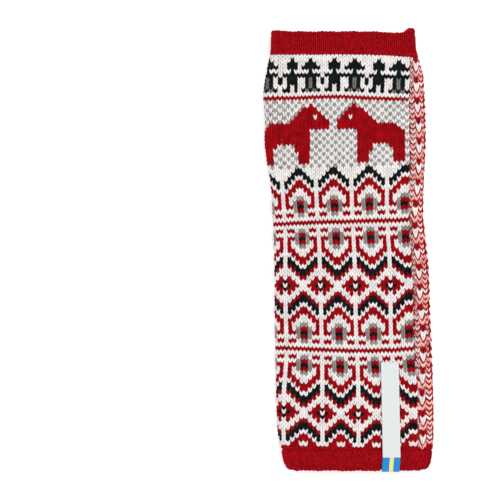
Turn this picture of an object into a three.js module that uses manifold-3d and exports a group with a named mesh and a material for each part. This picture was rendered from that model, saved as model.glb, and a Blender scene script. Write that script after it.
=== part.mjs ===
// A fingerless wrist warmer: a knitted tube lying flat on its palm side, with a red cuff at each
// end, a thumb slit in one fold and a woven label folded round the hem of the arm cuff.
// Millimetres. X runs across the tube, Y along it towards the fingers, Z up from the surface
// that it lies on. The origin is the middle of the underside.
import * as THREE from "three";
import { mergeVertices } from "three/addons/utils/BufferGeometryUtils.js";
import Module from "manifold-3d";

const wasm = await Module();
wasm.setup();

// Driving dimensions
const seamGap = 0.3; // left between two pieces that meet
const sleeveWall = 2.4; // two-colour knitting with its floats behind it
const cuffWall = 2.5; // turned and knitted double
const labelThickness = 0.6;
const labelWidth = 10;
const labelInsideLength = 7; // the part of the label that is turned inside the hem
const slit = { y: 70.5, length: 27, height: 6.4 }; // the thumb opening, in the left fold
const cornerLift = { from: 29, to: 34.5, height: 1.05 }; // the hand edge stands up at the seam corner

// Outline of the tube as it lies, from the arm end to the hand end. left and right are the two
// folds, thick is the height at them, fold is how far in each one reaches before the faces are
// flat, and crown is how far the middle rises above them.
const sleeveRows = [
  { y: -105.6, left: -37.0, right: 46.1, thick: 10.0, fold: 3.7, crown: 1.6 },
  { y: -99.4, left: -38.3, right: 46.2, thick: 10.1, fold: 3.8, crown: 1.9 },
  { y: -82.0, left: -39.1, right: 46.1, thick: 10.2, fold: 3.8, crown: 2.1 },
  { y: -64.5, left: -39.4, right: 45.6, thick: 10.2, fold: 3.8, crown: 2.2 },
  { y: -47.1, left: -39.7, right: 44.8, thick: 10.2, fold: 3.8, crown: 2.2 },
  { y: -29.6, left: -39.9, right: 44.0, thick: 10.2, fold: 3.8, crown: 2.2 },
  { y: -7.9, left: -40.0, right: 43.3, thick: 10.2, fold: 3.8, crown: 2.2 },
  { y: 5.2, left: -40.5, right: 41.8, thick: 10.2, fold: 3.8, crown: 2.2 },
  { y: 18.3, left: -41.0, right: 40.5, thick: 10.2, fold: 3.8, crown: 2.2 },
  { y: 31.4, left: -41.7, right: 40.6, thick: 10.2, fold: 3.9, crown: 2.2 },
  { y: 40.1, left: -42.7, right: 40.9, thick: 10.2, fold: 3.9, crown: 2.2 },
  { y: 48.8, left: -44.2, right: 41.4, thick: 10.3, fold: 4.0, crown: 2.2 },
  { y: 57.5, left: -45.3, right: 41.8, thick: 10.3, fold: 4.0, crown: 2.2 },
  { y: 67.0, left: -46.0, right: 42.0, thick: 10.3, fold: 4.0, crown: 2.2 },
  { y: 84.5, left: -46.2, right: 41.3, thick: 10.2, fold: 3.9, crown: 2.0 },
  { y: 90.5, left: -45.6, right: 40.8, thick: 10.2, fold: 3.8, crown: 1.9 },
  { y: 97.5, left: -44.5, right: 40.2, thick: 10.1, fold: 3.8, crown: 1.8 },
  { y: 106.2, left: -42.8, right: 38.0, thick: 10.0, fold: 3.7, crown: 1.6 },
];
const armCuffRows = [
  { y: -119.3, left: -32.0, right: 41.4, thick: 10.0, fold: 3.4, crown: 1.6 },
  { y: -118.2, left: -33.6, right: 43.0, thick: 10.0, fold: 3.6, crown: 1.6 },
  { y: -116.4, left: -34.8, right: 44.2, thick: 10.0, fold: 3.7, crown: 1.6 },
  { y: -112.5, left: -35.8, right: 45.2, thick: 10.0, fold: 3.7, crown: 1.6 },
  { y: -105.9, left: -36.8, right: 46.0, thick: 10.0, fold: 3.7, crown: 1.6 },
];
const handCuffRows = [
  { y: 106.5, left: -42.7, right: 37.9, thick: 10.0, fold: 3.7, crown: 1.6 },
  { y: 110.0, left: -42.2, right: 36.9, thick: 10.0, fold: 3.7, crown: 1.5 },
  { y: 115.0, left: -42.0, right: 36.7, thick: 10.0, fold: 3.6, crown: 1.4 },
  { y: 119.0, left: -41.9, right: 36.5, thick: 10.0, fold: 3.6, crown: 1.3 },
  { y: 120.4, left: -41.6, right: 36.2, thick: 9.8, fold: 3.4, crown: 1.3 },
];
// Middle line of the label on the upper face, from its sewn end to the hem
const labelRows = [
  { y: -60.2, x: 22.4 },
  { y: -111.9, x: 23.6 },
  { y: -119.3, x: 23.0 },
];

const foldSteps = 12;
const topSteps = 20;
const bottomSteps = 8;

// Height of the upper face over the middle stretch, which rises and falls as a squared cosine.
function crownAt(row, x) {
  const middle = (row.left + row.right) / 2;
  const half = (row.right - row.left) / 2 - row.fold;
  const share = THREE.MathUtils.clamp((x - middle) / half, -1, 1);
  return row.crown * Math.cos((share * Math.PI) / 2) ** 2;
}

// One closed section at a row, drawn inset from the outer face. It runs from the left fold over the
// upper face to the right fold, and back along the flat underside. Each fold is half an ellipse.
function section(row, inset) {
  const points = [];
  const middle = row.thick / 2;
  const reach = row.fold - inset * 0.8; // the knitting is a little thinner where it is bent
  const rise = middle - inset;
  const leftCentre = row.left + row.fold;
  const rightCentre = row.right - row.fold;
  for (let i = 0; i < foldSteps; i++) {
    const angle = Math.PI * (1.5 - i / foldSteps);
    points.push([leftCentre + reach * Math.cos(angle), middle + rise * Math.sin(angle)]);
  }
  for (let i = 0; i < topSteps; i++) {
    const x = THREE.MathUtils.lerp(leftCentre, rightCentre, i / topSteps);
    points.push([x, row.thick - inset + crownAt(row, x)]);
  }
  for (let i = 0; i < foldSteps; i++) {
    const angle = Math.PI * (0.5 - i / foldSteps);
    points.push([rightCentre + reach * Math.cos(angle), middle + rise * Math.sin(angle)]);
  }
  for (let i = 0; i < bottomSteps; i++) {
    points.push([THREE.MathUtils.lerp(rightCentre, leftCentre, i / bottomSteps), inset]);
  }
  return points;
}

// A tube with an outer and an inner face through the rows' sections, closed by a rim at each end.
// lift(x, share) moves a point along the tube, where share goes from 0 to 1 over the rows.
function tube(rows, wall, lift = () => 0) {
  const positions = [];
  const faces = [];
  const count = section(rows[0], 0).length;
  for (const inset of [0, wall]) {
    rows.forEach((row, i) => {
      for (const [x, z] of section(row, inset)) {
        positions.push(x, row.y + lift(x, i / (rows.length - 1)), z);
      }
    });
  }
  const at = (layer, ring, step) => (layer * rows.length + ring) * count + (step % count);
  const quad = (a, b, c, d) => faces.push(a, b, c, a, c, d);
  const last = rows.length - 1;
  for (let j = 0; j < count; j++) {
    for (let i = 0; i < last; i++) {
      quad(at(0, i, j), at(0, i, j + 1), at(0, i + 1, j + 1), at(0, i + 1, j));
      quad(at(1, i, j), at(1, i + 1, j), at(1, i + 1, j + 1), at(1, i, j + 1));
    }
    quad(at(0, 0, j), at(1, 0, j), at(1, 0, j + 1), at(0, 0, j + 1));
    quad(at(0, last, j), at(0, last, j + 1), at(1, last, j + 1), at(1, last, j));
  }
  return new THREE.BufferGeometry()
    .setAttribute("position", new THREE.Float32BufferAttribute(positions, 3))
    .setIndex(faces);
}

function toSolid(geometry) {
  const bare = geometry.clone();
  bare.deleteAttribute("normal");
  bare.deleteAttribute("uv");
  const merged = mergeVertices(bare, 1e-4);
  return new wasm.Manifold(
    new wasm.Mesh({
      numProp: 3,
      vertProperties: new Float32Array(merged.attributes.position.array),
      triVerts: new Uint32Array(merged.index.array),
    }),
  );
}

function toGeometry(solid) {
  const mesh = solid.getMesh();
  return new THREE.BufferGeometry()
    .setAttribute("position", new THREE.BufferAttribute(mesh.vertProperties, 3))
    .setIndex(new THREE.BufferAttribute(mesh.triVerts, 1));
}

// The thumb slit, a lens with its points along the tube, cut straight in through the left fold
function slitCutter() {
  const reach = 14;
  const half = slit.length / 2;
  const bulge = slit.height; // a quadratic curve rises to half of its control point
  const lens = new THREE.Shape().moveTo(-half, 0);
  lens.quadraticCurveTo(0, bulge, half, 0);
  lens.quadraticCurveTo(0, -bulge, -half, 0);
  const cutter = new THREE.ExtrudeGeometry(lens, {
    depth: reach,
    bevelEnabled: false,
    curveSegments: 12,
  });
  const standing = new THREE.Matrix4().makeBasis(
    new THREE.Vector3(0, 1, 0),
    new THREE.Vector3(0, 0, 1),
    new THREE.Vector3(1, 0, 0),
  );
  const row = rowAt(sleeveRows, slit.y);
  return cutter.applyMatrix4(standing).translate(row.left - 5, slit.y, row.thick / 2);
}

// The row at any y, between the two listed rows next to it
function rowAt(rows, y) {
  const upper = rows.findIndex((row) => row.y >= y);
  if (upper <= 0) return { ...rows[upper === 0 ? 0 : rows.length - 1], y };
  const [a, b] = [rows[upper - 1], rows[upper]];
  const share = (y - a.y) / (b.y - a.y);
  const row = { y };
  for (const key of ["left", "right", "thick", "fold", "crown"]) {
    row[key] = THREE.MathUtils.lerp(a[key], b[key], share);
  }
  return row;
}

// The label is a flat strip that follows the upper face to the hem, goes round it and ends inside.
function label() {
  const acrossSteps = 4;
  const turnSteps = 8;
  const wholeTube = [...armCuffRows, ...sleeveRows];
  const hemY = armCuffRows[0].y;
  const sewnY = labelRows[0].y;
  const insideY = hemY + labelInsideLength;
  const centreAt = (y) => {
    const lower = Math.max(1, labelRows.findIndex((row) => row.y <= y));
    const [a, b] = [labelRows[lower - 1], labelRows[lower]];
    return THREE.MathUtils.lerp(a.x, b.x, (y - a.y) / (b.y - a.y));
  };
  const topAt = (x, y) => {
    const row = rowAt(wholeTube, y);
    return row.thick + crownAt(row, x);
  };
  // A station has its place and the way from the cuff's wall out to the label, in the YZ plane.
  const rowsBelow = (limit) => wholeTube.map((row) => row.y).filter((y) => y < limit);
  const stations = [];
  for (const y of [...rowsBelow(sewnY), sewnY].reverse()) {
    stations.push({ y, down: 0, outY: 0, outZ: 1 });
  }
  for (let i = 1; i <= turnSteps; i++) {
    const angle = Math.PI * (0.5 + i / turnSteps);
    const [outY, outZ] = [Math.cos(angle), Math.sin(angle)];
    stations.push({ y: hemY, down: 0, outY, outZ, turn: true });
  }
  for (const y of [...rowsBelow(insideY).slice(1), insideY]) {
    stations.push({ y, down: cuffWall, outY: 0, outZ: -1 });
  }
  const positions = [];
  for (const offset of [seamGap, seamGap + labelThickness]) {
    for (const station of stations) {
      for (let j = 0; j <= acrossSteps; j++) {
        const x = centreAt(Math.min(station.y, sewnY)) + labelWidth * (j / acrossSteps - 0.5);
        const reach = station.turn ? cuffWall / 2 + offset : offset;
        const startY = station.y;
        const startZ = topAt(x, station.y) - (station.turn ? cuffWall / 2 : station.down);
        positions.push(x, startY + reach * station.outY, startZ + reach * station.outZ);
      }
    }
  }
  const faces = [];
  const width = acrossSteps + 1;
  const at = (layer, i, j) => (layer * stations.length + i) * width + j;
  const quad = (a, b, c, d) => faces.push(a, b, c, a, c, d);
  const end = stations.length - 1;
  for (let i = 0; i < end; i++) {
    for (let j = 0; j < acrossSteps; j++) {
      quad(at(1, i, j), at(1, i + 1, j), at(1, i + 1, j + 1), at(1, i, j + 1));
      quad(at(0, i, j), at(0, i, j + 1), at(0, i + 1, j + 1), at(0, i + 1, j));
    }
    quad(at(0, i, 0), at(0, i + 1, 0), at(1, i + 1, 0), at(1, i, 0));
    quad(
      at(0, i, acrossSteps),
      at(1, i, acrossSteps),
      at(1, i + 1, acrossSteps),
      at(0, i + 1, acrossSteps),
    );
  }
  for (let j = 0; j < acrossSteps; j++) {
    quad(at(0, 0, j), at(1, 0, j), at(1, 0, j + 1), at(0, 0, j + 1));
    quad(at(0, end, j), at(0, end, j + 1), at(1, end, j + 1), at(1, end, j));
  }
  return new THREE.BufferGeometry()
    .setAttribute("position", new THREE.Float32BufferAttribute(positions, 3))
    .setIndex(faces);
}

function wool(color) {
  return new THREE.MeshStandardMaterial({ color, roughness: 0.92, metalness: 0 });
}

const wristWarmer = new THREE.Group();

function add(name, geometry, material) {
  geometry.computeVertexNormals();
  const mesh = new THREE.Mesh(geometry, material);
  mesh.name = name;
  wristWarmer.add(mesh);
}

const redWool = wool(0x960a13);
const patternedWool = wool(0xdcd6cf);
const labelTape = new THREE.MeshStandardMaterial({ color: 0xe4e8ea, roughness: 0.6 });

const uncut = toSolid(tube(sleeveRows, sleeveWall));
add("sleeve", toGeometry(uncut.subtract(toSolid(slitCutter()))), patternedWool);
add("arm_cuff", tube(armCuffRows, cuffWall), redWool);
add(
  "hand_cuff",
  tube(handCuffRows, cuffWall, (x, share) => {
    return share * cornerLift.height * THREE.MathUtils.smoothstep(x, cornerLift.from, cornerLift.to);
  }),
  redWool,
);
add("woven_label", label(), labelTape);

export default wristWarmer;
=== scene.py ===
import math

import bpy
import numpy as np
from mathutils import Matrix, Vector


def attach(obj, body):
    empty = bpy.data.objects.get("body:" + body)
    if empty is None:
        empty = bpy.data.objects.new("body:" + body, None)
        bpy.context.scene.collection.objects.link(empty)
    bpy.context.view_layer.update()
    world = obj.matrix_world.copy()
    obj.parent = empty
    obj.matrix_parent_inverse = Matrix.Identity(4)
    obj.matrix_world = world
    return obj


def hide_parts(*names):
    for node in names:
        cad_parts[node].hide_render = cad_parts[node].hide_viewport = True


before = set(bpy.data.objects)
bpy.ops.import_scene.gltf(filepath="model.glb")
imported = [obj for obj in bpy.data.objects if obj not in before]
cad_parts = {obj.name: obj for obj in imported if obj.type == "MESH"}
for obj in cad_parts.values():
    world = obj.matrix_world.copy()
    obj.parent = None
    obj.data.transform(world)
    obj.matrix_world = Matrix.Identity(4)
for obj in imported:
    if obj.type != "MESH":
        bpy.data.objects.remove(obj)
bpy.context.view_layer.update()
rng = np.random.default_rng(41)

# The knitted tube, in millimetres. Each row of the table is one section across the tube:
# y, left edge, right edge, height at the folds, reach of a fold, extra rise of the middle.
tube = {
    "sections": [
        (-119.3, -32.0, 41.9, 10.0, 3.4, 1.6), (-118.2, -33.6, 43.6, 10.0, 3.6, 1.6),
        (-116.4, -34.9, 44.9, 10.0, 3.7, 1.6), (-112.5, -35.9, 45.6, 10.0, 3.7, 1.6),
        (-105.75, -37.1, 46.4, 10.0, 3.7, 1.6), (-99.4, -38.4, 46.6, 10.1, 3.8, 1.9),
        (-82.0, -39.2, 46.6, 10.2, 3.8, 2.1), (-64.5, -39.5, 46.1, 10.2, 3.8, 2.2),
        (-47.1, -39.8, 45.4, 10.2, 3.8, 2.2), (-29.6, -40.1, 44.6, 10.2, 3.8, 2.2),
        (-7.9, -40.2, 44.0, 10.2, 3.8, 2.2), (5.2, -40.6, 42.5, 10.2, 3.8, 2.2),
        (18.3, -41.0, 41.0, 10.2, 3.8, 2.2), (31.4, -41.7, 41.1, 10.2, 3.9, 2.2),
        (40.1, -42.7, 41.4, 10.2, 3.9, 2.2), (48.8, -44.3, 41.9, 10.3, 4.0, 2.2),
        (57.5, -45.5, 42.3, 10.3, 4.0, 2.2), (67.0, -46.3, 42.4, 10.3, 4.0, 2.2),
        (84.5, -46.4, 41.8, 10.2, 3.9, 2.0), (90.5, -45.8, 41.3, 10.2, 3.8, 1.9),
        (97.5, -44.6, 41.0, 10.1, 3.8, 1.8), (102.0, -43.7, 39.8, 10.1, 3.8, 1.7),
        (106.35, -42.85, 38.3, 10.0, 3.7, 1.6), (110.0, -42.4, 37.2, 10.0, 3.7, 1.5),
        (115.0, -42.3, 36.9, 10.0, 3.6, 1.4), (119.0, -42.3, 36.7, 10.0, 3.6, 1.3),
        (120.4, -42.0, 36.4, 9.8, 3.4, 1.3),
    ],
    "slit": {"y": 70.5, "length": 27.0, "height": 6.4, "foldRadius": 5.1},  # for the thumb
    # the hand end reaches further at its right corner: over which x, how far, and over which y
    "cornerLift": {"from": 29.0, "to": 34.5, "height": 1.05, "start": 106.5, "end": 120.4},
}

# How the stitches lie on the tube: y, x of the pattern's middle line, width of a stitch.
gauge = {
    "middleColumn": 13.5,
    "columns": 85,
    "foldStitches": 2.7,  # stitches from the flat top to the middle of a fold
    "spread": [
        (-119.6, -4.7, 2.235), (-75.4, -4.85, 2.235), (-52.6, -5.07, 2.128),
        (-18.2, -5.56, 2.134), (6.3, -6.59, 2.071), (25.9, -7.41, 2.087),
        (47.2, -7.9, 2.153), (82.6, -8.39, 2.142), (105.5, -8.28, 2.153), (120.8, -8.28, 2.153),
    ],
    # row number and the height on the tube where its stitches end in their point
    "rows": [
        (-43, 105.8), (-42, 103.7), (-32, 82.9), (-27, 72.0), (-22, 62.6), (-18, 54.1),
        (-13, 43.3), (-7, 30.45), (0, 15.25), (2, 11.15), (11, -8.55), (20, -27.35), (30, -49.35),
        (39, -68.6), (56, -105.2),
    ],
    # how much the rows rise to the right, millimetre per millimetre
    "lean": [(-105.0, 0.0), (-60.0, 0.01), (-10.0, 0.025), (30.0, 0.035), (55.0, 0.03), (84.0, -0.006),
             (106.0, -0.016)],
    "leanEnds": (-3, 34),  # the columns past which the rows rise no further
    "leanWidth": 2.1,  # width of a stitch that the rise is counted with
    "bow": [(60.0, 0.0), (84.0, -0.7), (106.0, -0.1)],  # how far the ends of a row hang down
    "bowColumns": 17,  # from the middle of a row to its ends
    "pullWidth": 2.14,  # width of a stitch that the pull to the side is counted with
    # how the knit is pulled out of true, mm: at each height, first to the right, then up, at eight places
    "pulledAt": (-43.5, -35.0, -27.5, -20.0, -4.5, 10.7, 26.0, 33.6),
    "pulled": [
        (-97.2, (-0.45, -0.45, 0.2, 0.6, 0.7, -0.15, -0.05, -0.2),
         (-0.05, -0.05, -0.45, -0.5, -0.85, -1.25, -1.2, -0.6)),
        (-77.6, (-0.15, -0.15, 0.6, 0.7, 0.55, -0.15, -0.05, -0.2),
         (-0.2, -0.2, -0.9, -1.45, -2.05, -2.2, -2.6, -2.1)),
        (-58.0, (0.3, 0.3, 0.45, 0.3, 0.45, 0.0, -0.15, 0.0),
         (0.25, 0.25, -0.2, -0.75, -1.6, -1.9, -1.9, -1.3)),
        (-38.4, (-0.1, -0.1, 0.25, 0.15, -0.15, -0.65, -0.5, -0.05),
         (0.35, 0.35, 0.0, -0.25, -0.8, -1.25, -0.65, 0.25)),
        (-18.8, (-0.1, -0.1, 0.25, -0.05, -0.3, -0.25, -0.3, -0.05),
         (0.15, 0.15, -0.1, -0.2, -0.95, -1.2, -1.05, -0.3)),
        (0.9, (0.25, 0.25, 0.4, -0.2, 0.05, 0.15, 0.5, 0.6),
         (-0.2, -0.2, -0.3, -0.4, -1.1, -1.1, -1.5, -1.0)),
        (20.5, (0.4, 0.4, 0.35, -0.55, -0.15, 0.05, 0.35, 0.35),
         (-0.6, -0.6, -0.25, -0.15, -0.15, -0.05, -0.3, -0.1)),
        (40.1, (-0.1, 0.15, -0.05, -0.6, -0.45, -0.35, 0.05, 0.25),
         (0.25, 0.25, 0.5, 0.75, 0.4, 0.55, 0.55, 0.55)),
        (59.7, (-1.7, 0.0, 0.1, 0.15, 0.05, -0.15, 0.05, 0.4),
         (0.15, 0.15, 0.1, 0.2, 0.05, -0.1, -0.5, 0.25)),
        (79.3, (-1.5, 0.45, 0.0, -0.4, -0.45, -0.35, -0.05, 0.8),
         (-0.2, -0.2, -0.25, 0.1, 0.45, -0.15, 0.05, 0.15)),
        (99.0, (-0.6, 0.75, 0.1, -0.65, -0.4, 0.2, 0.2, 0.85),
         (-0.75, -0.75, -0.85, -0.6, -0.45, -0.45, -0.85, -0.75)),
    ],
    "groove": (33.2, 0.95, 0.45),  # sunken line beside the side strip: column, depth, reach
    "grooveEnd": (104.0, 5.0),  # how far it goes from the middle of the tube, and its fading stretch
    # where the hand cuff begins, from left to right: x and y
    "handSeam": [(-42.0, 107.4), (0.0, 107.3), (20.0, 106.9), (31.0, 106.1), (37.0, 105.9)],
}

sections = np.array(tube["sections"])
sectionParts = {"left": 1, "right": 2, "height": 3, "fold": 4, "crown": 5}
spread = np.array(gauge["spread"])
rowTable = np.array(gauge["rows"])
leanTable, bowTable = np.array(gauge["lean"]), np.array(gauge["bow"])
handSeam = np.array(gauge["handSeam"])
fullTurn = gauge["columns"]
foldStitches = gauge["foldStitches"]
quarter = math.pi / 2


def readTable(table, at, entry=1):
    # the entry at a place between two lines of a table, whose first entry is the place
    return np.interp(at, table[:, 0], table[:, entry])


def across(y, part):
    return readTable(sections, y, sectionParts[part])


def withinTube(y):
    return np.clip(y, sections[0, 0], sections[-1, 0])


def rowHeight(row):
    return readTable(rowTable, row)


def columnAtX(x, y):
    return gauge["middleColumn"] + (x - readTable(spread, y)) / readTable(spread, y, 2)


def foldColumn(y):
    # the column at the middle of the left fold
    return columnAtX(across(y, "left") + across(y, "fold"), y) - foldStitches


def slitGap(y):
    # half the opening of the thumb slit, as an angle round the fold
    slit = tube["slit"]
    along = np.clip((y - slit["y"]) / slit["length"] + 0.5, 0.0, 1.0)
    return 2.0 * slit["height"] * along * (1.0 - along) / slit["foldRadius"]


def pointOn(column, y):
    # the middle of the wall's outer face for a stitch column and a height on the tube
    left, right, thick, fold, crown = (across(y, part) for part in sectionParts)
    topLeft, topRight = left + fold, right - fold
    firstTop, lastTop = columnAtX(topLeft, y), columnAtX(topRight, y)
    start = firstTop - foldStitches
    turn = np.mod(column - start, fullTurn)
    topSpan = lastTop - firstTop
    underSpan = fullTurn - 4.0 * foldStitches - topSpan
    gap = slitGap(y)
    # 0 at the middle of the left fold, counted over the top to the right and back beneath
    a = turn / foldStitches
    angleUp = gap + (quarter - gap) * np.clip(a, 0, 1)
    xLeft, zLeft = topLeft - fold * np.cos(angleUp), thick / 2 * (1 + np.sin(angleUp))
    b = np.clip((turn - foldStitches) / topSpan, 0, 1)
    xTop = topLeft + (topRight - topLeft) * b
    zTop = thick + crown * np.cos((2 * b - 1) * quarter) ** 2
    angleDown = quarter * (1 - (turn - foldStitches - topSpan) / foldStitches)
    xRight, zRight = topRight + fold * np.cos(angleDown), thick / 2 * (1 + np.sin(angleDown))
    d = (turn - 3 * foldStitches - topSpan) / underSpan
    xUnder, zUnder = topRight + (topLeft - topRight) * np.clip(d, 0, 1), np.zeros_like(turn)
    e = (fullTurn - turn) / foldStitches
    angleBack = gap + (quarter - gap) * np.clip(e, 0, 1)
    xBack, zBack = topLeft - fold * np.cos(angleBack), thick / 2 * (1 - np.sin(angleBack))
    x = np.where(turn <= foldStitches, xLeft, xTop)
    z = np.where(turn <= foldStitches, zLeft, zTop)
    onRight = turn > foldStitches + topSpan
    x, z = np.where(onRight, xRight, x), np.where(onRight, zRight, z)
    under = turn > 3 * foldStitches + topSpan
    x, z = np.where(under, xUnder, x), np.where(under, zUnder, z)
    back = e < 1
    x, z = np.where(back, xBack, x), np.where(back, zBack, z)
    lift = tube["cornerLift"]
    corner = np.clip((x - lift["from"]) / (lift["to"] - lift["from"]), 0, 1)
    share = np.clip((y - lift["start"]) / (lift["end"] - lift["start"]), 0, 1)
    yOut = y + lift["height"] * corner * corner * (3 - 2 * corner) * share
    return np.stack([x, yOut, z], axis=-1)


def onTube(column, y, lift):
    # the same point, moved outwards by lift
    column, y, lift = np.broadcast_arrays(*(np.asarray(v, float) for v in (column, y, lift)))
    yIn = withinTube(y)
    point = pointOn(column, yIn)
    columnStep, yStep = 0.04, 0.4  # to the neighbours that give the way outwards
    aside = pointOn(column + columnStep, yIn) - pointOn(column - columnStep, yIn)
    along = pointOn(column, withinTube(yIn + yStep)) - pointOn(column, withinTube(yIn - yStep))
    outward = np.cross(aside, along)
    outward /= np.maximum(np.linalg.norm(outward, axis=-1, keepdims=True), 1e-9)
    at, depth, reach = gauge["groove"]
    end, fading = gauge["grooveEnd"]
    inBody = np.clip((end - np.abs(yIn)) / fading, 0, 1)
    lift = lift - depth * inBody * np.exp(-((column - at) / reach) ** 2)
    point = point + outward * lift[..., None]
    point[..., 1] += y - yIn
    return point


def newMesh(name, points, faces, uvs):
    mesh = bpy.data.meshes.new(name)
    mesh.from_pydata((points / 1000.0).tolist(), [], faces.tolist())
    layer = mesh.uv_layers.new(name="yarn")
    layer.data.foreach_set("uv", uvs[faces.reshape(-1)].reshape(-1).astype(np.float32))
    mesh.polygons.foreach_set("use_smooth", [True] * len(mesh.polygons))
    mesh.update()
    obj = bpy.data.objects.new(name, mesh)
    bpy.context.collection.objects.link(obj)
    return obj


def linearColour(text):
    # an sRGB hex colour as the linear one that a node takes
    out = []
    for i in (1, 3, 5):
        v = int(text[i:i + 2], 16) / 255
        out.append(v / 12.92 if v <= 0.04045 else ((v + 0.055) / 1.055) ** 2.4)
    return (*out, 1.0)


def addNode(tree, kind, settings=None, links=None):
    # one node, its settings by attribute or socket name, and its incoming links
    node = tree.nodes.new(kind)
    for key, value in (settings or {}).items():
        if isinstance(key, int) or key in node.inputs:
            node.inputs[key].default_value = value
        else:
            setattr(node, key, value)
    for key, socket in (links or {}).items():
        tree.links.new(socket, node.inputs[key])
    return node


def newMaterial(name):
    material = bpy.data.materials.new(name)
    material.use_nodes = True
    material.node_tree.nodes.clear()
    return material, material.node_tree


print("materials")

# Wool yarn, spun from fine crimped fibres and loosely plied: matt, a soft halo of light at the rims,
# and slightly uneven dye, so one stitch is a little lighter than the next.
woolYarn = {
    "white": {"base": "#E0DCDA", "dark": "#CDC9C7", "sheen": 0.08},
    "red": {"base": "#9F0611", "dark": "#80020C", "sheen": 0.0},
    "charcoal": {"base": "#181C1D", "dark": "#0B0F10", "sheen": 0.02},
    "grey": {"base": "#A6A4A0", "dark": "#888683", "sheen": 0.08},
    "stone": {"base": "#918F8C", "dark": "#787573", "sheen": 0.06},
    "slate": {"base": "#7B7B79", "dark": "#626362", "sheen": 0.04},
    "pink": {"base": "#E2B4AD", "dark": "#CB8F89", "sheen": 0.05},
    "plyPerStitch": 5.0,
    "fibre": 0.00035,  # a fibre bundle, in metres
    "patches": 260.0,  # patches of uneven dye in a metre
}


def woolMaterial(colourName):
    colour = woolYarn[colourName]
    material, tree = newMaterial(f"plied_wool_{colourName}")
    place = addNode(tree, "ShaderNodeTexCoord")
    patch = addNode(tree, "ShaderNodeTexNoise", {"Scale": woolYarn["patches"], "Detail": 3.0},
                    {"Vector": place.outputs["Object"]})
    fibre = addNode(tree, "ShaderNodeTexNoise", {"Scale": 1 / woolYarn["fibre"], "Detail": 2.0},
                    {"Vector": place.outputs["Object"]})
    ply = addNode(tree, "ShaderNodeTexWave",
                  {"wave_type": "BANDS", "bands_direction": "DIAGONAL", "Scale": woolYarn["plyPerStitch"],
                   "Distortion": 0.8, "Detail": 1.0}, {"Vector": place.outputs["UV"]})
    shade = addNode(tree, "ShaderNodeMapRange", {"From Min": 0.35, "From Max": 0.68},
                    {"Value": patch.outputs["Fac"]})
    tint = addNode(tree, "ShaderNodeMix",
                   {"data_type": "RGBA", 6: linearColour(colour["dark"]), 7: linearColour(colour["base"])},
                   {"Factor": shade.outputs["Result"]})
    relief = addNode(tree, "ShaderNodeMath", {"operation": "MULTIPLY_ADD", 1: 0.6},
                     {0: ply.outputs["Fac"], 2: fibre.outputs["Fac"]})
    bump = addNode(tree, "ShaderNodeBump", {"Strength": 0.25, "Distance": 0.0002},
                   {"Height": relief.outputs[0]})
    wool = addNode(tree, "ShaderNodeBsdfPrincipled",
                   {"Roughness": 0.88, "Sheen Weight": colour["sheen"], "Sheen Roughness": 0.45,
                    "Sheen Tint": linearColour(colour["base"]), "IOR": 1.54, "Specular IOR Level": 0.06},
                   {"Base Color": tint.outputs[2], "Normal": bump.outputs["Normal"]})
    addNode(tree, "ShaderNodeOutputMaterial", None, {"Surface": wool.outputs["BSDF"]})
    return material


wool = {name: woolMaterial(name) for name in ("white", "red", "charcoal", "grey", "stone", "slate", "pink")}

print("charts")

# One letter a stitch: W white, R red, K charcoal, G grey, M mid grey, S slate grey. The repeat is nine
# stitches wide and 32 rows high; columns 0 to 4 are given and 5 to 8 mirror them.
lozengeRepeat = """
RRRRR WWWWW WRRWM WWWMR WRRMK WRWMR WRWWM WRRWW
WWRRW WKWRR WKKWR WRKKW WWRKK WWWRK WRWWR KRRWW
WKRRW KRRWW WRWWR WWWRK WWRKK WRKKW WKKWR WKWRR
WWRRW WRRWW WRWWM WRWMR WRRMK WWWMR WRRWM WWWWW
""".split()
# The first arches leave out the red line above the charcoal one.
firstArches = "WWWWK WWWKK WWKKW WKKWR WKWRR WWRRW WRRWW WRWWM WRWMR WRRMK WWWMR WRRWM WWWWW".split()
# The band of dancers, eleven stitches wide, read from a woman's middle stitch to the right.
dancers = """
WWWWWWWWWWW KWWWWWKWWWW KKWWWKKKWWK KKKWWKKKWKK KWWWWWKWWWW KKKWKKKKKKK
SKWKWKKKWWK SKWKWKKKWWK SKWWWKWKWWK KSKWKKWKWKS WWWWWWWWWWW
""".split()
# The red horse: stitches from the pair's middle line, then the first and last red row.
horse = {2: (6, 8), 3: (5, 8), 4: (4, 8), 5: (3, 8), 6: (2, 8), 7: (3, 17), 8: (3, 17), 9: (4, 17),
         10: (5, 14), 11: (6, 12), 12: (7, 12), 13: (7, 12), 14: (7, 12), 15: (7, 13), 16: (7, 17),
         17: (8, 17), 18: (9, 17)}
horseEye = (5, 5)
lozengeWidth, womanColumn = 9, 8
firstRow, lastRow = -43, 56
redLine, archRow = -32, -13  # the line under the dancers, and the first row of the arches
thinRedRows = (redLine, 0, 32)
frontFirst, frontLast = -5, 32  # columns of the charted front
stripColumns = 5


def besideMiddle(column):
    # stitches from the middle line of the pair of horses, 1 for the first one
    return np.abs(column - gauge["middleColumn"]) + 0.5


def chartColour(column, row):
    if row < redLine:
        band = dancers[row - firstRow]
        return band[(column - womanColumn) % len(band)]
    if row == redLine:
        return "R"
    if row < archRow:
        line, side = row - redLine, besideMiddle(column)
        if (side, line) == horseEye:
            return "W"
        if side in horse and horse[side][0] <= line <= horse[side][1]:
            return "R"
        return "G" if (column + line) % 2 == 0 else "W"
    k = column % lozengeWidth
    k = min(k, lozengeWidth - k)
    return firstArches[row - archRow][k] if row < 0 else lozengeRepeat[row % len(lozengeRepeat)][k]


print("stitches")

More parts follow.
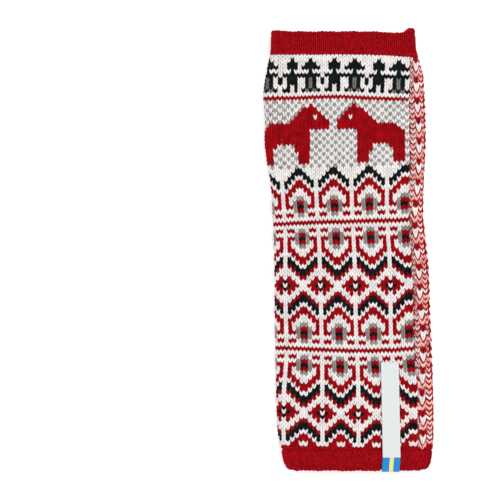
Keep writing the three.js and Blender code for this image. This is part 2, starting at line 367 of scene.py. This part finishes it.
# One knit stitch is a V of two legs of yarn. Along a leg: place across the stitch, rows up from its
# point, height of the crest and half width, the last two as shares.
stitch = {
    "leg": [(0.06, -0.14, 0.15, 0.06), (0.12, 0.06, 0.80, 0.17), (0.215, 0.36, 1.00, 0.235),
            (0.325, 0.72, 0.95, 0.25), (0.41, 1.05, 0.62, 0.22), (0.45, 1.32, 0.05, 0.10)],
    "around": 5,  # points across a leg
    "rise": 0.78,  # crest above the ground, mm
    "ground": -0.62,  # ground of the legs below the outer face, mm
    "fatness": {"W": 1.08, "R": 1.08, "K": 1.0, "G": 1.0, "M": 1.1, "S": 0.95},
    "dancersFatter": 0.16,
    "redLinesThinner": 0.15,
    "eyeWidth": 0.78,
    # how deep each yarn lies, mm: the white one dominates
    "sink": {"W": -0.05, "R": -0.02, "K": 0.02, "G": 0.08, "M": -0.01, "S": 0.08},
    "back": (0.06, 1.14, 0.05),  # the loop's back, seen between the legs: from, to, height
    "jitter": 0.03,  # unevenness, as a share of a stitch
    "jitterAcross": 0.6,  # how much of it the place across the row gets
    "jitterCrest": 1.5,  # and the height of the crest
    "lipGap": 0.06,  # columns kept free on each side of the thumb slit
    "tucked": (0.2, -1.3),  # under the hand cuff: from how far past its edge, and the height there
    "tableGap": 0.02,  # least height above the table, mm
}


def legTemplate():
    leg = np.array(stitch["leg"])
    count, around = len(leg), stitch["around"]
    angle = np.linspace(-math.pi / 2, math.pi / 2, around)
    points, uvs = [], []
    for i, (aside, up, crest, half) in enumerate(leg):
        for j, turn in enumerate(angle):
            height = crest * math.cos(turn) ** 0.8 if 0 < j < around - 1 else 0.0
            points.append((aside, half * math.sin(turn), up, height))
            uvs.append((j / (around - 1) * 0.5, i / (count - 1)))
    faces = [(i * around + j, i * around + j + 1, (i + 1) * around + j + 1, (i + 1) * around + j)
             for i in range(count - 1) for j in range(around - 1)]
    low, high, lift = stitch["back"]
    faces.append(tuple(len(points) + i for i in range(4)))
    points += [(0.0, 0.0, low, lift), (0.5, 0.0, low, lift), (0.5, 0.0, high, lift), (0.0, 0.0, high, lift)]
    uvs += [(0.6, 0.0), (0.9, 0.0), (0.9, 1.0), (0.6, 1.0)]
    return np.array(points), np.array(faces), np.array(uvs)


legPoints, legFaces, legUvs = legTemplate()


def stitches(name, places, material):
    # places: one line a stitch, with its column, y of the point, row pitch, width, fatness and sink
    column, y, pitch, width, fat, sink = np.array(places, float).T[:, :, None]
    n = len(column)
    shift = rng.normal(0, stitch["jitter"], (n, 4))
    columns, ys, lifts, faces, uvs = [], [], [], [], []
    step = len(legPoints)
    for side in (1, -1):
        a = side * (legPoints[None, :, 0] + legPoints[None, :, 1] * fat)
        along = legPoints[None, :, 2] * (1 + shift[:, 1:2]) + shift[:, 2:3]
        crest = stitch["rise"] * legPoints[None, :, 3] * (1 + shift[:, 3:4] * stitch["jitterCrest"]) * fat
        columns.append(column + (a + shift[:, 0:1] * stitch["jitterAcross"]) * width)
        ys.append(y + along * pitch)
        lifts.append(stitch["ground"] + crest - sink)
        order = legFaces if side == 1 else legFaces[:, ::-1]
        offset = (np.arange(n) * step)[:, None, None] + (0 if side == 1 else n * step)
        faces.append((order[None] + offset).reshape(-1, 4))
        uvs.append(np.tile(legUvs, (n, 1)))
    columns, ys, lifts = (np.concatenate(v).reshape(-1) for v in (columns, ys, lifts))
    # beside the thumb slit each stitch keeps to its own lip
    lip, gap = foldColumn(ys), stitch["lipGap"]
    middle = np.tile(np.repeat(column[:, 0], step), 2)
    half = fullTurn / 2
    fromLip = np.mod(columns - lip + half, fullTurn) - half
    own = np.mod(middle - lip + half, fullTurn) - half
    kept = np.where(own > -0.5, np.maximum(fromLip, gap), np.minimum(fromLip, -gap))
    columns = np.where((slitGap(ys) > 0.01) & (np.abs(own) < 2), lip + kept, columns)
    x = pointOn(columns, withinTube(ys))[:, 0]
    past, depth = stitch["tucked"]
    points = onTube(columns, ys, np.where(ys > readTable(handSeam, x) + past, depth, lifts))
    points[:, 2] = np.maximum(points[:, 2], stitch["tableGap"])
    obj = newMesh(name, points, np.concatenate(faces), np.concatenate(uvs))
    obj.data.materials.append(material)
    return obj


def rowRise(column, y):
    lean, bow = readTable(leanTable, y), readTable(bowTable, y)
    aside = np.clip(column, *gauge["leanEnds"]) - gauge["middleColumn"]
    return lean * aside * gauge["leanWidth"] + bow * (aside / gauge["bowColumns"]) ** 2


def pulled(column, y, way):
    # the pull of the knit at these places; way 1 is to the right, 2 is up
    x = readTable(spread, y) + (column - gauge["middleColumn"]) * readTable(spread, y, 2)
    heights = np.array([line[0] for line in gauge["pulled"]])
    lines = np.array([np.interp(x, gauge["pulledAt"], line[way]) for line in gauge["pulled"]])
    i = np.clip(np.searchsorted(heights, y) - 1, 0, len(heights) - 2)
    share = np.clip((y - heights[i]) / (heights[i + 1] - heights[i]), 0, 1)
    n = np.arange(len(x))
    return lines[i, n] * (1 - share) + lines[i + 1, n] * share


def rowY(column, row):
    y = rowHeight(row)
    return y + rowRise(column, y) + pulled(column, y, 2)


def gather(cells, yarn):
    # cells: list of (column, row) of one yarn, to places for stitches()
    column, row = np.array(cells, float).T
    y = rowY(column, row)
    pitch = np.where(row <= firstRow, y - rowY(column, row + 1), rowY(column, row - 1) - y)
    aside = np.where(column <= frontLast, pulled(column, rowHeight(row), 1), 0.0)
    # the dancers stand out more, the single red lines less
    fatter = np.where((row < redLine) & (yarn == "K"), stitch["dancersFatter"], 0.0)
    thinner = np.where(np.isin(row, thinRedRows) & (yarn == "R"), stitch["redLinesThinner"], 0.0)
    fatness = stitch["fatness"][yarn] + fatter - thinner
    eye = (row == horseEye[1] + redLine) & (besideMiddle(column) == horseEye[0])
    return np.stack([column + aside / gauge["pullWidth"], y, pitch, np.where(eye, stitch["eyeWidth"], 1.0),
                     fatness, np.full(len(cells), stitch["sink"][yarn])], 1)


pieces = []
yarnOf = {"W": "white", "R": "red", "K": "charcoal", "G": "grey", "M": "stone", "S": "slate", "P": "pink"}
knitted = {"front": {key: [] for key in "WRKGMS"}, "palm": {key: [] for key in "WR"}}
for row in range(firstRow, lastRow + 1):
    for column in range(frontFirst, frontLast + 1):
        knitted["front"][chartColour(column, row)].append((column, row))
    # the palm is plain salt and pepper, red and white stitches in turn
    for column in range(frontLast + 1 + stripColumns, frontFirst + fullTurn):
        knitted["palm"]["W" if (column + row) % 2 else "R"].append((column, row))
for area, yarns in knitted.items():
    for key, cells in yarns.items():
        pieces.append(stitches(f"{area}_{yarnOf[key]}_stitches", gather(cells, key), wool[yarnOf[key]]))

print("side strip")

# The strip on the right fold: a chain of large stitches, a red heart, a white one and a pink one in
# turn, that wanders up the fold between narrow columns of small stitches and a red edge.
sideStrip = {
    # number of the repeat and the height of its red heart
    "repeats": [(0, 104.6), (1, 93.8), (2, 82.4), (3, 71.3), (4, 60.4), (5, 49.2), (6, 38.0), (7, 26.2),
                (8, 14.4), (9, 2.6), (10, -8.4), (11, -19.0), (12, -30.2), (13, -41.4), (14, -53.4),
                (15, -64.5), (16, -76.8), (17, -88.2), (18, -98.9), (19, -109.0)],
    # height and x of the chain's middle
    "path": [(-108.0, 40.3), (-98.9, 40.9), (-88.2, 40.1), (-76.8, 40.2), (-64.5, 40.8), (-53.4, 41.0),
             (-41.4, 40.6), (-30.2, 38.8), (-19.0, 38.8), (-8.4, 38.5), (2.6, 37.2), (14.4, 35.8),
             (26.2, 37.0), (38.0, 38.0), (49.2, 38.7), (60.4, 38.7), (71.3, 38.1), (82.4, 37.4),
             (93.8, 36.7), (106.0, 37.0)],
    # place of the point in the repeat, yarn, width, height, fatness, sink
    "chain": [(0.17, "R", 1.1, 2.8, 0.98, -0.08), (0.55, "W", 1.26, 3.9, 0.92, -0.04),
              (0.66, "R", 1.8, 3.4, 0.66, 0.0), (0.82, "P", 1.95, 3.3, 0.6, 0.0),
              (0.9, "R", 2.0, 3.2, 0.45, 0.1)],
    # place, yarn, height, fatness and sink of the small stitches beside it
    "left": [(0.12, "W", 1.9, 0.8, 0.04), (0.24, "R", 1.8, 0.68, 0.12), (0.37, "P", 1.9, 0.8, 0.04),
             (0.49, "R", 1.8, 0.68, 0.12), (0.62, "W", 1.9, 0.8, 0.04), (0.74, "R", 1.8, 0.68, 0.12),
             (0.87, "P", 1.9, 0.8, 0.04), (0.99, "R", 1.8, 0.68, 0.12)],
    "right": [(0.06, "P", 1.9, 0.8, 0.04), (0.18, "R", 1.8, 0.78, 0.08), (0.31, "W", 1.9, 0.8, 0.04),
              (0.43, "R", 1.8, 0.78, 0.08), (0.56, "P", 1.9, 0.8, 0.04), (0.68, "R", 1.8, 0.78, 0.08),
              (0.81, "P", 1.9, 0.8, 0.04), (0.93, "R", 1.8, 0.78, 0.08)],
    "edge": [(0.1, "R", 2.4, 0.8, 0.06), (0.4, "R", 2.4, 0.8, 0.06), (0.6, "P", 1.6, 0.8, 0.06),
             (0.9, "R", 2.4, 0.8, 0.06)],
    "sides": (33.0, 36.6, 37.4),  # the columns where the front, the strip and its edge end
    "reach": 0.82,  # half width of the chain
    "narrowest": 0.25,  # a small stitch is left out where it would have less room than this
    "filled": 0.86,  # share of its room that it fills
    "chainEnd": 18.9,  # the last place in the repeats for the chain, and for each yarn beside it
    "smallEnd": {"R": 18.95, "W": 18.6, "P": 18.6},
}
repeats, path = np.array(sideStrip["repeats"]), np.array(sideStrip["path"])
strip = {"R": [], "W": [], "P": []}


def heightAt(share):
    return float(readTable(repeats, share))


def chainAt(y):
    # the chain's column; past the flat top the columns follow the fold
    x, fold = readTable(path, y), across(y, "fold")
    flatEnd = across(y, "right") - fold
    beyond = np.clip((x - flatEnd) / fold, 0, 1)
    return float(columnAtX(min(x, flatEnd), y) + foldStitches * math.asin(beyond) / quarter)


frontEnd, stripEnd, edgeEnd = sideStrip["sides"]
for k in range(len(repeats) - 1):
    for share, yarn, width, tall, fat, sink in sideStrip["chain"]:
        if k + share < sideStrip["chainEnd"]:
            y = heightAt(k + share)
            strip[yarn].append((chainAt(y), y, tall, width, fat, sink))
    for side in ("left", "right", "edge"):
        for share, yarn, tall, fat, sink in sideStrip[side]:
            if k + share > sideStrip["smallEnd"][yarn]:
                continue
            y = heightAt(k + share)
            chain, reach = chainAt(y), sideStrip["reach"]
            near, far = {"left": (frontEnd, chain - reach), "right": (chain + reach, stripEnd),
                         "edge": (stripEnd, edgeEnd)}[side]
            room = far - near
            if room > sideStrip["narrowest"]:
                strip[yarn].append(((near + far) / 2, y, tall, room * sideStrip["filled"], fat, sink))
for key, places in strip.items():
    pieces.append(stitches(f"side_{yarnOf[key]}_stitches", places, wool[yarnOf[key]]))

print("ground fabric")


def rolledCloth(name, columns, rows, place):
    # a flat grid of cloth whose points are laid in place by a function of its two sides, 0 to 1
    bpy.ops.object.select_all(action="DESELECT")
    bpy.ops.mesh.primitive_grid_add(x_subdivisions=columns, y_subdivisions=rows, size=1)
    obj = bpy.context.object
    obj.name = obj.data.name = name
    flat = np.empty(len(obj.data.vertices) * 3)
    obj.data.vertices.foreach_get("co", flat)
    flat = flat.reshape(-1, 3)
    points = place(flat[:, 0] + 0.5, flat[:, 1] + 0.5)
    obj.data.vertices.foreach_set("co", (points / 1000.0).reshape(-1))
    bpy.ops.object.mode_set(mode="EDIT")
    bpy.ops.mesh.select_all(action="SELECT")
    bpy.ops.mesh.remove_doubles(threshold=0.00002)
    bpy.ops.mesh.normals_make_consistent(inside=False)
    bpy.ops.object.mode_set(mode="OBJECT")
    bpy.ops.object.shade_smooth()
    return obj


def thicken(obj, thickness, offset):
    # a thickness in mm for a sheet: inwards with offset -1, to both sides with 0
    wall = obj.modifiers.new("wall", "SOLIDIFY")
    wall.thickness, wall.offset = thickness / 1000, offset
    bpy.context.view_layer.objects.active = obj
    bpy.ops.object.modifier_apply(modifier="wall")


# The ground is what shows between the stitches and inside the tube: the back of the knit, where
# the yarns that are not in use are carried across.
ground = {
    "depth": 0.68,
    "wall": 1.6,
    "ends": (-104.7, 106.0),
    "bars": (160.0, 470.0, 160.0),  # carried yarns in a metre
    # share of the bars from which each yarn shows: red, white, deep red, charcoal
    "yarns": [(0.0, "#7A2A2C"), (0.3, "#B0A6A2"), (0.66, "#8A1A1E"), (0.88, "#3A3E40")],
}


def groundPlace(u, v):
    y = ground["ends"][0] + (ground["ends"][1] - ground["ends"][0]) * v
    edge = 1e-7  # keeps the two sides of the sheet on their own lip of the thumb slit
    column = foldColumn(y) + np.clip(u, edge, 1 - edge) * fullTurn
    return onTube(column, y, -ground["depth"])


def groundMaterial():
    # stranded wool seen from its back: short bars of every yarn, matt and uneven
    material, tree = newMaterial("stranded_wool_back")
    place = addNode(tree, "ShaderNodeTexCoord")
    bars = addNode(tree, "ShaderNodeMapping", {"Scale": ground["bars"]},
                   {"Vector": place.outputs["Object"]})
    cells = addNode(tree, "ShaderNodeTexVoronoi", {"Scale": 1.0, "Randomness": 0.55},
                    {"Vector": bars.outputs["Vector"]})
    pick = addNode(tree, "ShaderNodeSeparateColor", None, {"Color": cells.outputs["Color"]})
    ramp = addNode(tree, "ShaderNodeValToRGB", None, {"Fac": pick.outputs[0]})
    ramp.color_ramp.interpolation = "CONSTANT"
    while len(ramp.color_ramp.elements) < len(ground["yarns"]):
        ramp.color_ramp.elements.new(0.5)
    for element, (position, colour) in zip(ramp.color_ramp.elements, ground["yarns"]):
        element.position, element.color = position, linearColour(colour)
    bump = addNode(tree, "ShaderNodeBump", {"Strength": 0.7, "Distance": 0.0006, "invert": True},
                   {"Height": cells.outputs["Distance"]})
    cloth = addNode(tree, "ShaderNodeBsdfPrincipled",
                    {"Roughness": 0.92, "Specular IOR Level": 0.06},
                    {"Base Color": ramp.outputs["Color"], "Normal": bump.outputs["Normal"]})
    addNode(tree, "ShaderNodeOutputMaterial", None, {"Surface": cloth.outputs["BSDF"]})
    return material


groundCloth = rolledCloth("ground_fabric", 170, 120, groundPlace)
thicken(groundCloth, ground["wall"], -1.0)
groundCloth.data.materials.append(groundMaterial())
pieces.append(groundCloth)

print("cuffs")

# Cuffs: dense red rib, knitted finer than the body, with a soft rolled edge.
cuffs = {
    "ribs": 170,  # ribs round the tube
    "wall": 2.5,
    "sunk": 0.05,  # below the outer face of the tube
    "lip": (0.9, 1.2),  # the rolled edge: from how far before the edge, and how long
    "hemLine": (2.6, 0.6, 0.3),  # the sunken line above the rolled edge: from the edge, width, depth
    "turnWidth": 0.5,
    # the edge is uneven in three waves: height, number round the tube, phase
    "scallops": [(0.16, 85, math.pi / 2), (0.12, 31, 1.3), (0.15, 13, 0.0)],
    # the lengths over which these come up, the scallops from the edge and the rest from the seam
    "over": {"scallops": 3.0, "ribs": 2.0, "under": 2.4, "slant": 9.0, "shape": 13.0},
    # of each cuff: relief of its ribs
    # under: how deep the first row lies, where the stitches of the body come over it
    # turn: from the seam to the sunken line of the first row, and its depth
    # shape: how far the edge stands out or back, from left to right
    # held: middle and half width of the place where the label's turn holds the edge back, and how far;
    # it fades out over the next millimetre
    "arm": {"edge": -119.2, "seam": -104.4, "relief": 0.2, "under": 1.4, "turn": (3.5, 1.1),
            "shape": [(-50.0, 0.0), (50.0, 0.0)], "held": (23.0, 5.0, 0.5)},
    "hand": {"edge": 119.9, "seam": 106.9, "relief": 0.26, "under": 0.0, "turn": (2.0, 0.0),
             "shape": [(-42.0, 0.6), (-36.0, 0.5), (-31.0, 0.0), (12.0, 0.0), (24.0, -0.6),
                       (28.5, -0.8), (31.0, -0.1), (33.0, 1.0), (35.5, 1.1), (37.5, 0.4)],
             "held": (0.0, 0.0, 0.0)},
    # the darker rib colour is painted shade between the ribs and also the darker dye patches; the lighter
    # one is the ribs' own red
    "ribDarkPatchesAndPaintedShade": "#5E0008",
    "ribLight": "#A30913",
}
halfWall = cuffs["wall"] / 2


def cuffPlace(part):
    edge, seam = part["edge"], part["seam"]
    toEdge = 1.0 if edge > seam else -1.0
    lipStart, lipLength = edge - toEdge * cuffs["lip"][0], toEdge * cuffs["lip"][1]
    outer = [(seam + (lipStart - seam) * s, 0.0) for s in np.linspace(0, 1, 21)]
    lip = [(lipStart + lipLength * math.sin(a), -halfWall + halfWall * math.cos(a))
           for a in np.linspace(0, math.pi, 9)[1:]]
    inner = [(lipStart + (seam - lipStart) * s, -cuffs["wall"]) for s in np.linspace(0, 1, 6)[1:]]
    profile = np.array(outer + lip + inner + [outer[0]])
    share = np.linspace(0, 1, len(profile))
    shape, over = np.array(part["shape"]), cuffs["over"]

    def place(u, v):
        y, lift = np.interp(v, share, profile[:, 0]), np.interp(v, share, profile[:, 1])
        column = foldColumn(y) + np.mod(u, 1.0) * fullTurn
        fromSeam, fromEdge = np.abs(y - seam), np.abs(y - edge)
        outside = np.clip(1 + lift / halfWall, 0, 1)
        ribs = np.cos(2 * math.pi * cuffs["ribs"] * u) - 1
        ribs = part["relief"] * np.clip(fromSeam / over["ribs"], 0, 1) * ribs
        hemAt, hemWidth, hemDepth = cuffs["hemLine"]
        hem = hemDepth * np.exp(-((fromEdge - hemAt) / hemWidth) ** 2)
        turnAt, turnDepth = part["turn"]
        turn = turnDepth * np.exp(-((fromSeam - turnAt) / cuffs["turnWidth"]) ** 2)
        under = part["under"] * np.clip(1 - fromSeam / over["under"], 0, 1)
        lift = lift + outside * (ribs - hem - turn - under) - cuffs["sunk"]
        x, _, z = np.moveaxis(pointOn(column, withinTube(y)), -1, 0)
        middle, half, back = part["held"]
        onTop = z > across(y, "height") / 2
        held = back * np.clip(half + 1.0 - np.abs(x - middle), 0, 1) * onTop
        waves = sum(high * np.sin(2 * math.pi * count * u + phase)
                    for high, count, phase in cuffs["scallops"])
        uneven = (waves - held) * np.clip(1 - fromEdge / over["scallops"], 0, 1)
        bend = readTable(shape, x) * np.clip(fromSeam / over["shape"], 0, 1) ** 2
        slant = readTable(handSeam, x) - seam if toEdge > 0 else 0.0
        slant = slant * np.clip(1 - fromSeam / over["slant"], 0, 1)
        return onTube(column, y + toEdge * (uneven + bend) + slant, lift)
    return place


def ribMaterial():
    # fine dense wool rib: even red, with painted shade darker between the ribs, a slightly felted surface
    material, tree = newMaterial("ribbed_wool_red")
    place = addNode(tree, "ShaderNodeTexCoord")
    patch = addNode(tree, "ShaderNodeTexNoise", {"Scale": 950.0, "Detail": 2.0},
                    {"Vector": place.outputs["Object"]})
    grain = addNode(tree, "ShaderNodeTexNoise", {"Scale": 1400.0, "Detail": 2.0},
                    {"Vector": place.outputs["Object"]})
    shade = addNode(tree, "ShaderNodeMapRange", {"From Min": 0.36, "From Max": 0.64},
                    {"Value": patch.outputs["Fac"]})
    wavePeriod = 0.314159  # of a unit, at scale 1
    # one wave a rib, which paints shade between the ribs; the distortion breaks the ribs' lines up
    rib = addNode(tree, "ShaderNodeTexWave", {"wave_type": "BANDS", "bands_direction": "X",
                                              "Scale": cuffs["ribs"] * wavePeriod,
                                              "Phase Offset": math.pi / 2, "Distortion": 0.9,
                                              "Detail": 1.0, "Detail Scale": 3.0},
                  {"Vector": place.outputs["UV"]})
    ribPaintedShadeAndPatches = addNode(tree, "ShaderNodeMath", {"operation": "MULTIPLY_ADD", 1: 0.7},
                    {0: rib.outputs["Fac"], 2: shade.outputs["Result"]})
    level = addNode(tree, "ShaderNodeMapRange", {"From Min": 0.1, "From Max": 1.45},
                    {"Value": ribPaintedShadeAndPatches.outputs[0]})
    # painted shade between the ribs and uneven dye patches, mixed into one colour
    tint = addNode(tree, "ShaderNodeMix",
                   {"data_type": "RGBA", 6: linearColour(cuffs["ribDarkPatchesAndPaintedShade"]),
                    7: linearColour(cuffs["ribLight"])},
                   {"Factor": level.outputs["Result"]})
    bump = addNode(tree, "ShaderNodeBump", {"Strength": 0.5, "Distance": 0.0003},
                   {"Height": grain.outputs["Fac"]})
    felted = addNode(tree, "ShaderNodeBsdfPrincipled",
                     {"Roughness": 0.88, "Specular IOR Level": 0.06},
                     {"Base Color": tint.outputs[2], "Normal": bump.outputs["Normal"]})
    addNode(tree, "ShaderNodeOutputMaterial", None, {"Surface": felted.outputs["BSDF"]})
    return material


ribbedWool = ribMaterial()
cuffPieces = {}
for part in ("arm", "hand"):
    cuff = rolledCloth(f"{part}_rib_cuff", cuffs["ribs"] * 6, 37, cuffPlace(cuffs[part]))
    cuff.data.materials.append(ribbedWool)
    cuffPieces[part] = cuff

print("label")

# Woven tape: satin white ribbon with a blue, yellow and blue end, folded round the hem.
label = {
    "middle": [(-119.3, 22.9), (-111.9, 23.5), (-60.2, 22.5)],  # height and x
    "width": 9.65,
    "flatWidth": 10.0,  # laid flat, before its edges draw in
    "lift": 0.6,  # from the tube's outer face to the middle of the tape
    "thickness": 0.5,
    "top": -60.2,
    "flag": -112.05,  # where the striped end begins
    "hem": -117.9,  # where it begins to turn
    "inside": 7.0,
    "cloth": "#C6CACB",
    "selvedge": "#CFD3D3",
    "blue": "#1778BC",
    "yellow": "#D6CA70",
    # in shares of the width: middle line, half of the yellow stripe, and from there to the woven edge
    "across": (0.52, 0.115, 0.42),
}
labelRadius = halfWall + label["lift"]
labelDown, labelTurn = label["top"] - label["hem"], math.pi * labelRadius
labelLength = labelDown + labelTurn + label["inside"]


def labelPlace(u, v):
    # v runs from the sewn top end down, round the hem and up inside
    run = v * labelLength
    around = np.clip((run - labelDown) / labelTurn, 0, 1) * math.pi
    inside = np.maximum(run - labelDown - labelTurn, 0)
    y = label["top"] - np.minimum(run, labelDown)
    x = readTable(np.array(label["middle"]), y) + (u - 0.5) * label["width"]
    y = np.where(run > labelDown, label["hem"], y) + inside
    left, right, thick, fold, crown = (across(y, part) for part in sectionParts)
    share = np.clip((x - (left + right) / 2) / ((right - left) / 2 - fold), -1, 1)
    top = thick + crown * np.cos(share * math.pi / 2) ** 2
    z = top - halfWall + labelRadius * np.cos(around)
    return np.stack([x, y - labelRadius * np.sin(around), z], axis=-1)


def labelMaterial():
    # polyester satin tape: smooth, a faint shine along the warp and a fine cross rib from the loom
    material, tree = newMaterial("woven_polyester_tape")
    place = addNode(tree, "ShaderNodeTexCoord")
    uv = addNode(tree, "ShaderNodeSeparateXYZ", None, {"Vector": place.outputs["UV"]})
    flag = addNode(tree, "ShaderNodeMath",
                   {"operation": "GREATER_THAN", 1: (label["top"] - label["flag"]) / labelLength},
                   {0: uv.outputs["Y"]})
    middle, yellowHalf, toEdge = label["across"]
    aside = addNode(tree, "ShaderNodeMath", {"operation": "SUBTRACT", 1: middle}, {0: uv.outputs["X"]})
    distance = addNode(tree, "ShaderNodeMath", {"operation": "ABSOLUTE"}, {0: aside.outputs[0]})
    outer = addNode(tree, "ShaderNodeMath", {"operation": "GREATER_THAN", 1: yellowHalf},
                    {0: distance.outputs[0]})
    stripe = addNode(tree, "ShaderNodeMix",
                     {"data_type": "RGBA", 6: linearColour(label["yellow"]), 7: linearColour(label["blue"])},
                     {"Factor": outer.outputs[0]})
    selvedge = addNode(tree, "ShaderNodeMath", {"operation": "GREATER_THAN", 1: toEdge},
                       {0: distance.outputs[0]})
    cloth = addNode(tree, "ShaderNodeMix",
                    {"data_type": "RGBA", 6: linearColour(label["cloth"]),
                     7: linearColour(label["selvedge"])},
                    {"Factor": selvedge.outputs[0]})
    tape = addNode(tree, "ShaderNodeMix", {"data_type": "RGBA"},
                   {"Factor": flag.outputs[0], 6: cloth.outputs[2], 7: stripe.outputs[2]})
    weft = addNode(tree, "ShaderNodeMapping", {"Scale": (40.0, 300.0, 1.0)},
                   {"Vector": place.outputs["UV"]})
    weave = addNode(tree, "ShaderNodeTexWave", {"wave_type": "BANDS", "bands_direction": "DIAGONAL",
                                                "Scale": 0.5, "Distortion": 0.6},
                    {"Vector": weft.outputs["Vector"]})
    woven = addNode(tree, "ShaderNodeMapRange", {"To Min": 0.9, "To Max": 1.05},
                    {"Value": weave.outputs["Fac"]})
    shaded = addNode(tree, "ShaderNodeVectorMath", {"operation": "SCALE"},
                     {0: tape.outputs[2], "Scale": woven.outputs["Result"]})
    bump = addNode(tree, "ShaderNodeBump", {"Strength": 0.25, "Distance": 0.0001},
                   {"Height": weave.outputs["Fac"]})
    satin = addNode(tree, "ShaderNodeBsdfPrincipled", {"Roughness": 0.5, "Specular IOR Level": 0.2},
                    {"Base Color": shaded.outputs[0], "Normal": bump.outputs["Normal"]})
    addNode(tree, "ShaderNodeOutputMaterial", None, {"Surface": satin.outputs["BSDF"]})
    return material


wovenTape = rolledCloth("woven_tape_label", 10, 120, labelPlace)
thicken(wovenTape, label["thickness"], 0.0)
wovenTape.data.materials.append(labelMaterial())

print("frame")

for piece in pieces:
    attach(piece, "root")
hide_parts("sleeve")
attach(cuffPieces["arm"], "root")
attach(cuffPieces["hand"], "root")
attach(wovenTape, "root")
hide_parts("arm_cuff")
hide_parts("hand_cuff")
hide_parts("woven_label")

print("studio")

# A table of matt white, lit from above and a little from below, seen straight from above by a camera
# far off. Lengths of the camera in millimetres, of the rest in metres.
studio = {
    "floor": "#FFFFFF",
    "floorSize": 6.0,
    "floorGlow": 0.18,
    "lens": 300.0,
    "sensor": 36.0,
    "lookAt": (-53.57, 0.86),
    "fieldWidth": 272.5,  # width of the picture at the height below
    "scaleHeight": 8.0,
    "lights": [("window_light", (0.75, 0.6, 1.0), 1.0, 10.0),  # name, place, size, watts
               ("fill_light", (-0.4, -1.1, 0.9), 1.2, 5.0)],
}
bpy.ops.mesh.primitive_plane_add(size=studio["floorSize"], location=(0, 0, 0))
floor = bpy.context.object
floor.name = "studio_floor"
floorMaterial, tree = newMaterial("matt_white_table_lit_from_below")
paper = addNode(tree, "ShaderNodeBsdfPrincipled", {"Base Color": linearColour(studio["floor"]),
                                                   "Roughness": 0.9, "Specular IOR Level": 0.1,
                                                   "Emission Color": (1, 1, 1, 1),
                                                   "Emission Strength": studio["floorGlow"]})
addNode(tree, "ShaderNodeOutputMaterial", None, {"Surface": paper.outputs["BSDF"]})
floor.data.materials.append(floorMaterial)

world = bpy.data.worlds.new("studio_air")
bpy.context.scene.world = world
world.use_nodes = True
sky = world.node_tree.nodes["Background"]
sky.inputs["Color"].default_value = (1, 1, 1, 1)
sky.inputs["Strength"].default_value = 1.0

for name, at, size, power in studio["lights"]:
    lamp = bpy.data.lights.new(name, "AREA")
    lamp.shape, lamp.size, lamp.energy = "SQUARE", size, power
    obj = bpy.data.objects.new(name, lamp)
    bpy.context.collection.objects.link(obj)
    obj.location = at
    obj.rotation_euler = (-Vector(at)).to_track_quat("-Z", "Y").to_euler()

camera = bpy.data.cameras.new("camera")
camera.lens, camera.sensor_width = studio["lens"], studio["sensor"]
cameraObject = bpy.data.objects.new("camera", camera)
bpy.context.collection.objects.link(cameraObject)
distance = studio["fieldWidth"] / 2 / (studio["sensor"] / 2 / studio["lens"])
cameraObject.location = (studio["lookAt"][0] / 1000, studio["lookAt"][1] / 1000,
                         (distance + studio["scaleHeight"]) / 1000)
bpy.context.scene.camera = cameraObject
bpy.context.scene.view_settings.view_transform = "Standard"
